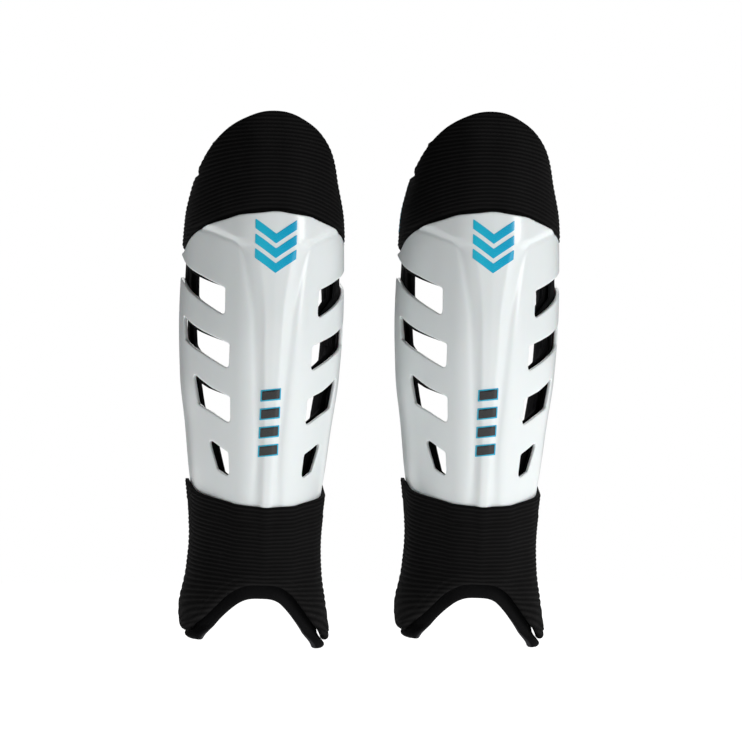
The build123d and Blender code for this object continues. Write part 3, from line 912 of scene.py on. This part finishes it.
def cuff_rim(around, height):
    """Thin at the cuff's top, where it lies on the shell, and full below."""
    below = SHELL_LOW - 2 + cuff_rise(around, height) - height
    return 0.35 + 2.1 * smooth(below / 8)


QUILT_LINE = 4.5           # from the liner's edges to its stitching
QUILT_HEIGHT = 2.0
SPINE_SEAM = 15.0          # from the middle of the liner to the seams down it
FLARE_FRONT = 4.4          # how far the free lobes swell forwards, and their backs with them
FLARE_BACK = 2.6


def quilt(around, height, edge):
    """Foam that swells between the stitched lines."""
    inner = 1 - np.exp(-np.maximum(edge - QUILT_LINE, 0) / 4.5)
    outer = 0.45 * np.sin(math.pi * np.clip(edge / QUILT_LINE, 0, 1))
    spine = np.abs(np.abs(around) - SPINE_SEAM)
    seam = np.where((height > 45) & (height < 300), np.exp(-spine * spine / 6), 0)
    return QUILT_HEIGHT * np.where(edge > QUILT_LINE, inner, outer) * (1 - 0.8 * seam)


def liner_front(around, height, edge):
    return LINER_DEPTH[0] + 0.25 * np.exp(-np.maximum(edge, 0) / 2.5) - FLARE_FRONT * tip_flare(height)


def liner_back(around, height, edge):
    return LINER_DEPTH[1] - 0.8 + quilt(around, height, edge) - FLARE_BACK * tip_flare(height)


def level_depth(depth):
    """Face at one depth all over."""
    return lambda around, height, edge: depth + 0.0 * height


def steady(radius):
    """Rim with one radius all round."""
    return lambda around, height: radius + 0.0 * height


# ---- cloth simulation ----
CLOTH_STEP = 5.0
CLOTH_FRAMES = 20
CLOTH_CAP = 2.5            # the most that simulated fabric may stand off its pattern, in millimetres


def held_and_blown(outline, holes, depth, inwards, pressure):
    """Simulates a face of fabric that is sewn down at its edges and blown up by the foam behind it.

    Returns the pattern's places and how far each stands off it in millimetres, both as arrays."""
    coarse = [loop[::5] for loop in [outline, *holes]]
    points, faces, flat = plate(coarse[0], coarse[1:], level_depth(depth), level_depth(depth + 1),
                                steady(0.02), (CLOTH_STEP, CLOTH_STEP))
    half = len(points) // 2
    points, flat = points[:half] / 1000, flat[:half]
    faces = [face for face in faces if len(face) == 3 and max(face) < half]
    if inwards:
        faces = [tuple(reversed(face)) for face in faces]
    mesh = bpy.data.meshes.new("fabric being simulated")
    mesh.from_pydata(points.tolist(), [], faces)
    mesh.update()
    fabric = bpy.data.objects.new("fabric being simulated", mesh)
    bpy.context.collection.objects.link(fabric)
    edge_tree = tree_of(np.concatenate([outline, *holes]))
    held = [i for i in range(half) if edge_tree.find((flat[i][0], flat[i][1], 0))[2] < 3.0]
    group = fabric.vertex_groups.new(name="held")
    group.add(held, 1.0, "REPLACE")
    cloth = fabric.modifiers.new("cloth", "CLOTH")
    cloth.settings.vertex_group_mass = "held"
    cloth.settings.use_pressure = True
    cloth.settings.uniform_pressure_force = pressure
    cloth.settings.effector_weights.gravity = 0
    cloth.settings.quality = 5
    cloth.settings.tension_stiffness = 25
    cloth.settings.bending_stiffness = 2
    cloth.point_cache.frame_end = CLOTH_FRAMES
    for step in range(1, CLOTH_FRAMES + 1):
        bpy.context.scene.frame_set(step)
    settled = fabric.evaluated_get(bpy.context.evaluated_depsgraph_get()).data
    after = np.zeros(half * 3)
    settled.vertices.foreach_get("co", after)
    normals = np.zeros(half * 3)
    mesh.vertices.foreach_get("normal", normals)
    lift = np.sum((after.reshape(-1, 3) - points) * normals.reshape(-1, 3), axis=1) * 1000
    bpy.context.scene.frame_set(1)
    bpy.data.objects.remove(fabric)
    return flat[:, :2], np.clip(lift, 0, CLOTH_CAP)


class Blown:
    """How far simulated fabric stands off its pattern at any (around, height)."""

    def __init__(self, outline, holes, depth, inwards, pressure):
        self.lift = None
        self.places, self.lift = held_and_blown(outline, holes, depth, inwards, pressure)
        self.tree = tree_of(self.places)

    def __call__(self, around, height):
        if self.lift is None:
            return 0.0 * height
        result = []
        for x, y in zip(np.ravel(around), np.ravel(height)):
            near = self.tree.find_n((x, y, 0), 5)
            weights = np.array([1 / (far * far + 1.0) for _, _, far in near])
            lifts = self.lift[[i for _, i, _ in near]]
            result.append(float(np.dot(weights, lifts) / weights.sum()))
        return np.array(result).reshape(np.shape(height))


# ---- pieces on both guards ----
RIBBED_STEP = (1.3, RIB_PITCH / RIB_ROWS)


def shells():
    made = plate(shell_outline(), vent_holes(), shell_front, level_depth(SHELL_BACK), steady(0.8), (1.1, 1.1))
    for side in GUARDS:
        add_piece(f"shell_moulding_{side}", *made, SHELL_PLASTIC, f"{side}_guard", f"shell_{side}",
                  "shell_white")


def top_pads():
    outline = pad_outline()
    blown = Blown(outline, [], 0.0, False, 3.0)

    def front(around, height, edge):
        above = height - shell_top_at(around, height)
        return pad_front(around, height, edge) - blown(around, height) * smooth((above - 2) / 12)

    back = level_depth(BACKING_DEPTH[1])
    made = plate(outline, [], front, back, steady(1.2), RIBBED_STEP, pad_row_bend)
    for side in GUARDS:
        piece = add_piece(f"top_pad_{side}", *made, RIBBED_KNIT, f"{side}_guard",
                          [f"top_pad_cover_{side}", f"top_pad_foam_{side}"], "ribbed_fabric")


def ankle_cuffs():
    outline = cuff_outline()
    blown = Blown(outline, [], 0.0, False, 3.0)

    def front(around, height, edge):
        below = SHELL_LOW + cuff_rise(around, height) - height
        return cuff_front(around, height, edge) - blown(around, height) * smooth(below / 12)

    made = plate(outline, [], front, cuff_back, cuff_rim, RIBBED_STEP, cuff_row_bend)
    for side in GUARDS:
        piece = add_piece(f"ankle_cuff_{side}", *made, RIBBED_KNIT, f"{side}_guard",
                          [f"ankle_cuff_cover_{side}", f"ankle_cuff_foam_{side}"], "ribbed_fabric")


def backings():
    front, back = [level_depth(depth) for depth in BACKING_DEPTH]
    made = plate(backing_outline(), window_holes(), front, back, steady(0.6), (2.2, 2.2))
    for side in GUARDS:
        add_piece(f"backing_fabric_{side}", *made, LINER_KNIT, f"{side}_guard", f"backing_liner_{side}",
                  "liner_fabric")


def liners():
    outline, holes = liner_outline(), window_holes()
    blown = Blown(outline, holes, 9.5, True, 4.0)

    def back(around, height, edge):
        return liner_back(around, height, edge) + blown(around, height)

    made = plate(outline, holes, liner_front, back, steady(1.9), (1.7, 1.7))
    for side in GUARDS:
        piece = add_piece(f"liner_pad_{side}", *made, LINER_KNIT, f"{side}_liner", f"inner_liner_{side}",
                          "liner_foam")


# ---- marks on the keel ----
CHEVRON_HEIGHTS = (228.3, 237.3, 246.3)
CHEVRON_HALF_WIDTH = 12.5
CHEVRON_RISE = 9.0
CHEVRON_WIDTH = 6.0
BAR_HEIGHTS = (116.5, 127.8, 139.1, 150.4)
BAR_SIZE = (11.0, 5.6)
BAR_SLANT = 1.6
BAR_EDGE = 0.8


FILM_THICKNESS = 0.17
FILM_LIFT = 0.03           # of the lowest film off the shell
UPPER_FILM_LIFT = 0.23     # of a film that lies on another


def film(outline, lift):
    """Thin printed film on the keel, from its outline seen from the front."""
    places = to_around([(math.copysign(at_width(abs(x), z), x), z) for x, z in outline])

    def front(around, height, edge):
        return shell_front(around, height, edge) - lift - FILM_THICKNESS

    def back(around, height, edge):
        return shell_front(around, height, edge) - lift

    return plate(rounded(list(places), 0.5, 0.5), [], front, back, steady(0.06), (0.9, 0.9))


def chevron(height):
    half, rise, width = CHEVRON_HALF_WIDTH, CHEVRON_RISE, CHEVRON_WIDTH
    return [(0, height), (half, height + rise), (half, height + rise + width), (0, height + width),
            (-half, height + rise + width), (-half, height + rise)]


def bar(height, grow):
    half = BAR_SIZE[0] / 2 + grow
    low, high = height - grow, height + BAR_SIZE[1] + grow
    return [(-half, low), (half, low + BAR_SLANT), (half, high + BAR_SLANT), (-half, high)]


def marks():
    chevrons = [film(chevron(height), FILM_LIFT) for height in CHEVRON_HEIGHTS]
    edgings = [film(bar(height, BAR_EDGE), FILM_LIFT) for height in BAR_HEIGHTS]
    bars = [film(bar(height, 0), UPPER_FILM_LIFT) for height in BAR_HEIGHTS]
    sets = [("front_emblem", chevrons, CYAN_FILM, "cyan_film"),
            ("shin_mark_edging", edgings, CYAN_FILM, "cyan_film"),
            ("shin_mark", bars, BLACK_FILM, "black_film")]
    for node, shapes, material, slot in sets:
        made = join_shapes(shapes)
        for side in GUARDS:
            add_piece(f"{node}_film_{side}", *made, material, f"{side}_guard", f"{node}_{side}", slot)


# ---- hook and loop patches down the spine ----
PATCH_SPANS = [(74, 96), (122, 152), (192, 222)]
PATCH_HALF_WIDTH = 11.0


def closure_patches():
    kinds = [("hook", HOOK_PATCH_DEPTH, HOOK_TAPE, "guard"), ("loop", LOOP_PATCH_DEPTH, LOOP_TAPE, "liner")]
    for kind, (front, back), material, body in kinds:
        shapes = []
        for low, high in PATCH_SPANS:
            half = PATCH_HALF_WIDTH
            corners = to_around([(-half, low), (half, low), (half, high), (-half, high)])
            shapes.append(plate(rounded(list(corners), 2.0, 0.8), [], level_depth(front), level_depth(back),
                                steady(0.15), (1.2, 1.2)))
        made = join_shapes(shapes)
        for side in GUARDS:
            add_piece(f"{kind}_tape_{side}", *made, material, f"{side}_{body}", f"{kind}_patches_{side}",
                      f"{kind}_tape")


# ---- straps ----
TAB_END = STRAP_ROOT + LOOP_PAD_LENGTH
ELASTIC_PITCH = 1.6
CORDED_STEP = (0.32, 1.6)


def on_flap(level, half_height, start_gap, end_gap, side, front, back, rim, spacing=(1.0, 1.0)):
    """Plate on a flap, between two distances short of the strap hinge. front and back are depths."""
    low, high = level - half_height, level + half_height
    heights = np.linspace(low, high, 5)
    near = [(float(flap_end(z)) - start_gap, float(z)) for z in heights]
    far = [(float(flap_end(z)) - end_gap, float(z)) for z in heights[::-1]]
    corners = to_around([(side * s, z) for s, z in near + far])
    radii = [2.0, 0, 0, 0, 2.0] * 2
    face = front if callable(front) else level_depth(front)
    return plate(rounded(list(corners), radii, 0.8), [], face, level_depth(back), steady(rim), spacing)


def corded(depth, swell=0.12):
    """Elastic or webbing with cords across its length."""
    return lambda around, height, edge: depth - swell * np.sin(2 * math.pi * around / ELASTIC_PITCH)


def strap_band(level):
    """Elastic band from hinge to hinge round the back of the leg, with cords across it and rounded ends."""
    half, edge = STRAP_WIDTH / 2, (STRAP_DEPTH[1] - STRAP_DEPTH[0]) / 2
    turned = (STRAP_REACH - SIDE_STRAIGHT) / CURL_RADIUS
    flat_run = np.linspace(-half + edge, half - edge, 27)
    profile = [(z, -edge) for z in flat_run]
    for turn in np.radians(np.linspace(-60, 60, 5)):
        profile.append((half - edge + edge * math.cos(turn), edge * math.sin(turn)))
    profile += [(z, edge) for z in flat_run[::-1]]
    for turn in np.radians(np.linspace(120, 240, 5)):
        profile.append((-half + edge + edge * math.cos(turn), edge * math.sin(turn)))
    profile = np.array(profile)
    hinge = core_place(flap_end(level + profile[:, 0]), level + profile[:, 0], sum(STRAP_DEPTH) / 2)
    radius = hinge[:, 0] / math.cos(turned)
    centre = hinge[:, 1] - hinge[:, 0] * math.tan(turned)
    length = float(radius.mean()) * (math.pi - 2 * turned)
    steps = int(length / ELASTIC_PITCH * 5)
    rings, flats = [], []
    for step in range(-3, steps + 4):
        share = min(max(step / steps, 0.0), 1.0)
        overrun = max(-step, step - steps, 0)
        rounding = math.radians(28 * overrun)
        past_end = edge * math.sin(rounding) / float(radius.mean()) * (-1 if step < 0 else 1)
        angle = turned + (math.pi - 2 * turned) * share + past_end
        along = share * length
        swell = 0.13 * math.sin(2 * math.pi * along / ELASTIC_PITCH) * (overrun == 0)
        ease = 0.5 * math.sin(math.pi * share) * np.cos(math.pi * profile[:, 0] / STRAP_WIDTH)
        reach = radius - profile[:, 1] * math.cos(rounding) - np.sign(profile[:, 1]) * swell + ease
        x = reach * math.cos(angle)
        y = centre + reach * math.sin(angle)
        rings.append(np.stack([x, y, level + profile[:, 0]], axis=-1))
        flats.append(np.stack([np.full(len(profile), along), profile[:, 0]], axis=-1))
    count = len(profile)
    faces = []
    for ring in range(len(rings) - 1):
        for i in range(count):
            a, b = ring * count + i, ring * count + (i + 1) % count
            faces.append((a, b, b + count, a + count))
    faces.append(tuple(reversed(range(count))))
    faces.append(tuple(range((len(rings) - 1) * count, len(rings) * count)))
    return np.concatenate(rings), faces, np.concatenate(flats)


def capsule(start, end, normal, radius):
    """One stitch between two points in space, bowed outwards a little."""
    start, end, normal = Vector(start), Vector(end), Vector(normal)
    along = end - start
    across = along.cross(normal).normalized()
    points, faces = [], []
    stations = [(0.0, 0.35, -0.5), (0.12, 0.85, 0.2), (0.5, 1.0, 0.75), (0.88, 0.85, 0.2), (1.0, 0.35, -0.5)]
    for share, size, rise in stations:
        middle = start + along * share + normal * radius * rise
        for k in range(6):
            turn = math.pi / 3 * k
            points.append(middle + (across * math.cos(turn) + normal * math.sin(turn)) * radius * size)
    for ring in range(len(stations) - 1):
        for k in range(6):
            a, b = ring * 6 + k, ring * 6 + (k + 1) % 6
            faces.append((a, a + 6, b + 6, b))
    faces.append(tuple(range(6)))
    faces.append(tuple(reversed(range(len(points) - 6, len(points)))))
    return [tuple(point) for point in points], faces


def stitching(path, depth, length=2.4, gap=0.9, radius=0.26):
    """Row of stitches along a run of (around, height), lying at a depth."""
    path = np.array(path, float)
    marks = np.concatenate([[0], np.cumsum(np.linalg.norm(np.diff(path, axis=0), axis=1))])
    count = max(1, int(marks[-1] / (length + gap)))
    starts = (np.arange(count) + 0.5) * marks[-1] / count - length / 2
    middles = starts + length / 2

    def at(distances, sink=0.0):
        around = np.interp(distances, marks, path[:, 0])
        height = np.interp(distances, marks, path[:, 1])
        return place(around, height, depth + sink + 0.0 * height)

    points, faces = [], []
    for start, end, under, upper in zip(at(starts), at(starts + length), at(middles, 1.0), at(middles)):
        made, sides = capsule(start, end, (upper - under) / np.linalg.norm(upper - under), radius)
        faces += [tuple(i + len(points) for i in face) for face in sides]
        points += made
    return np.array(points), faces, np.array(points)[:, [0, 2]]


STITCH_INSET = 3.5


def box_stitch(level, side, end_gap, depth):
    """Stitched box with a cross in it."""
    low, high = level - STRAP_WIDTH / 2 + STITCH_INSET, level + STRAP_WIDTH / 2 - STITCH_INSET

    def corner(gap, z):
        return to_around([(side * (float(flap_end(z)) - gap), z)])[0]

    start_gap = TAB_END - 3
    a, b, c, d = corner(start_gap, low), corner(end_gap, low), corner(end_gap, high), corner(start_gap, high)
    runs = [(a, b), (b, c), (c, d), (d, a), (a, c), (b, d)]
    return join_shapes([stitching(run, depth) for run in runs])


def strap_pieces(strap, level):
    """A strap on each guard: the elastic, its sewn end, the pad that it closes on and its tab."""
    half = STRAP_WIDTH / 2
    for guard, (_, side) in GUARDS.items():
        on_strap, on_liner, on_tab = f"{guard}_{strap}_strap", f"{guard}_liner", f"{guard}_{strap}_tab"
        band = on_flap(level, half, TAB_END, 0.0, side, corded(STRAP_DEPTH[0]), STRAP_DEPTH[1], 0.65,
                       CORDED_STEP)
        fold = on_flap(level, half, TAB_END - 1.5, 1.0, side, *FOLD_DEPTH, 0.6)
        under = on_flap(level, half, TAB_END, STRAP_ROOT, side, *SEWN_LOOP_DEPTH, 0.5)
        loops = on_flap(level, half, TAB_END, STRAP_ROOT, -side, *LOOP_PAD_DEPTH, 0.35)
        tab = on_flap(level, half, TAB_END, 0.0, -side, corded(TAB_DEPTH[0]), TAB_DEPTH[1], 0.65, CORDED_STEP)
        hooks = on_flap(level, half - 1.5, TAB_END, STRAP_ROOT + 3, -side, *TAB_HOOKS_DEPTH, 0.3)
        grip = on_flap(level, half - 3, TAB_END + GRIP_LENGTH, TAB_END - 1.2, -side, *GRIP_DEPTH, 0.9,
                       (0.8, 0.8))
        sewn_stitches = box_stitch(level, side, 4.0, STRAP_DEPTH[0] - 0.05)
        tab_stitches = box_stitch(level, -side, 5.0, TAB_DEPTH[0] - 0.1)
        pieces = [("elastic", strap_band(level), ELASTIC, on_strap, "strap", "elastic"),
                  ("sewn_end", join_shapes([band, fold, under]), WEBBING, on_liner, "strap_anchor", "webbing"),
                  ("sewn_end_stitching", sewn_stitches, THREAD, on_liner, None, "webbing"),
                  ("loop_tape", loops, LOOP_TAPE, on_liner, "loop_pad", "loop_tape"),
                  ("tab_band", tab, ELASTIC, on_tab, "tab", "elastic"),
                  ("tab_stitching", tab_stitches, THREAD, on_tab, None, "webbing"),
                  ("hook_tape", hooks, HOOK_TAPE, on_tab, "tab_hooks", "hook_tape"),
                  ("grip", grip, GRIP_RUBBER, on_tab, "tab_grip", "grip_rubber")]
        for piece, shape, material, body, node, slot in pieces:
            replaced = f"{strap}_{node}_{guard}" if node else None
            add_piece(f"{strap}_{piece}_{guard}", *shape, material, body, replaced, slot)


shells()
top_pads()
ankle_cuffs()
backings()
liners()
marks()
closure_patches()
for strap, level in STRAP_LEVELS.items():
    strap_pieces(strap, level)


# ---- stage, light and camera ----
LOOK = math.radians(8.4)   # the camera stands this far to the left of straight ahead
LOOK_SHIFT = 0.00312       # middle of the picture, in metres to the right and up
LOOK_HEIGHT = 0.1706
LENS = 400.0
SENSOR = 36.0
FRAME_WIDTH = 0.4586


FLOOR_REACH = 1.6
FLOOR_DROP = 0.002


def emitting(name, color, glow):
    """Matt material that gives off enough light to look even."""
    n = Nodes(name)
    cloud = n.noise(n.add("ShaderNodeTexCoord").outputs["Object"], 1.5, 3.0, 0.5)
    shade = n.mix(n.math("MULTIPLY", cloud, 0.08), color, (0.4, 0.4, 0.4, 1))
    n.shader.inputs["Emission Color"].default_value = (1, 1, 1, 1)
    n.shader.inputs["Emission Strength"].default_value = glow
    return n.set(color=shade, rough=0.6)


def stage():
    mesh = bpy.data.meshes.new("floor")
    low = CAD_BOX[0][2] - FLOOR_DROP
    corners = [(x * FLOOR_REACH, y * FLOOR_REACH, low) for x, y in ((-1, -1), (1, -1), (1, 1), (-1, 1))]
    mesh.from_pydata(corners, [], [(0, 1, 2, 3)])
    floor = bpy.data.objects.new("floor", mesh)
    bpy.context.collection.objects.link(floor)
    mesh.materials.append(emitting("pale floor", (0.5, 0.5, 0.5, 1), 0.96))


def area_light(name, place_m, target, size, energy):
    data = bpy.data.lights.new(name, "AREA")
    data.shape = "RECTANGLE"
    data.size, data.size_y = size
    data.energy = energy
    light = bpy.data.objects.new(name, data)
    light.location = place_m
    light.rotation_euler = (Vector(target) - Vector(place_m)).to_track_quat("-Z", "Y").to_euler()
    bpy.context.collection.objects.link(light)


def studio():
    middle = (0.0, 0.0, 0.17)
    area_light("key", (1.9, -1.7, 0.9), middle, (1.0, 1.3), 35.0)
    area_light("fill", (-2.4, -1.6, 0.9), middle, (1.4, 1.4), 3.6)
    area_light("back", (0.3, 2.2, 1.6), middle, (1.8, 1.2), 16.0)
    world = bpy.data.worlds.new("studio")
    world.use_nodes = True
    bpy.context.scene.world = world
    tree = world.node_tree
    background = tree.nodes["Background"]
    rays = tree.nodes.new("ShaderNodeLightPath")
    strength = tree.nodes.new("ShaderNodeMapRange")
    strength.inputs["To Min"].default_value = 0.05
    strength.inputs["To Max"].default_value = 1.0
    tree.links.new(rays.outputs["Is Camera Ray"], strength.inputs["Value"])
    tree.links.new(strength.outputs["Result"], background.inputs["Strength"])
    background.inputs["Color"].default_value = (1, 1, 1, 1)
    bpy.context.scene.view_settings.view_transform = "Standard"


def camera():
    ahead = Vector((math.sin(LOOK), math.cos(LOOK), 0))
    across = Vector((math.cos(LOOK), -math.sin(LOOK), 0))
    data = bpy.data.cameras.new("camera")
    data.lens = LENS
    data.sensor_width = SENSOR
    target = across * LOOK_SHIFT + Vector((0, 0, LOOK_HEIGHT))
    eye = bpy.data.objects.new("camera", data)
    eye.location = target - ahead * (FRAME_WIDTH * LENS / SENSOR)
    eye.rotation_euler = ahead.to_track_quat("-Z", "Y").to_euler()
    bpy.context.collection.objects.link(eye)
    bpy.context.scene.camera = eye


stage()
studio()
camera()
